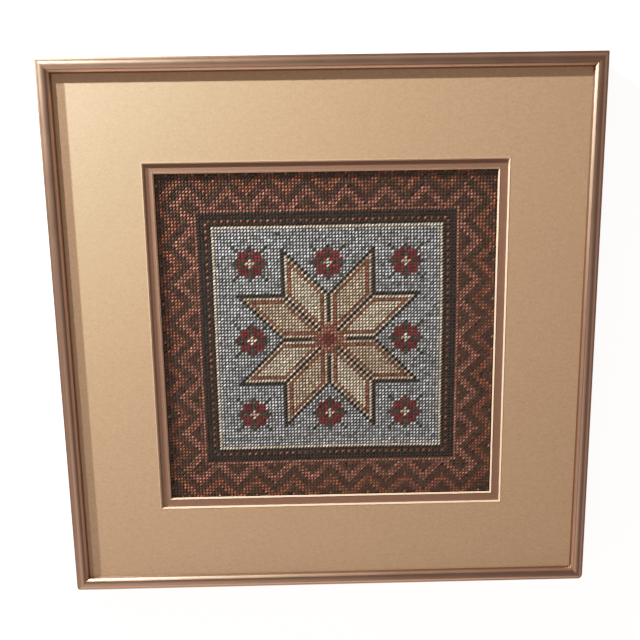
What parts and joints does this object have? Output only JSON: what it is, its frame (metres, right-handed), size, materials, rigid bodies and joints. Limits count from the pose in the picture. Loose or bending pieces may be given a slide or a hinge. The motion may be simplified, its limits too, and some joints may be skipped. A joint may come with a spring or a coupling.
{
  "type": "framed needlepoint canvas panel",
  "caption": "Square needlepoint canvas panel in woollen tent stitch, double matted behind bevelled windows in a slim satin metal section frame with mitred corners.",
  "frame": {"origin": "middle of the frame's flat back, on the surface that the panel lies on", "axes": "+Z out of the picture's face, +Y towards the picture's top edge, +X to its right as it is seen"},
  "size_m": [0.419, 0.419, 0.022],
  "materials": {
    "frame_metal": "satin rose-gold anodised section",
    "outer_card": "champagne mat board with a faint sheen and a cream core",
    "inner_card": "matt rose-brown mat board with a cream core",
    "stitched_wool": "wool tent stitch on an even-weave canvas",
    "backing_card": "plain grey-brown board"
  },
  "bodies": {
    "root": {"frame_bottom": "frame_metal", "frame_right": "frame_metal", "frame_top": "frame_metal", "frame_left": "frame_metal", "outer_mat": "outer_card", "inner_mat": "inner_card", "needlepoint_canvas": "stitched_wool", "backing_board": "backing_card"}
  },
  "joints": []
}
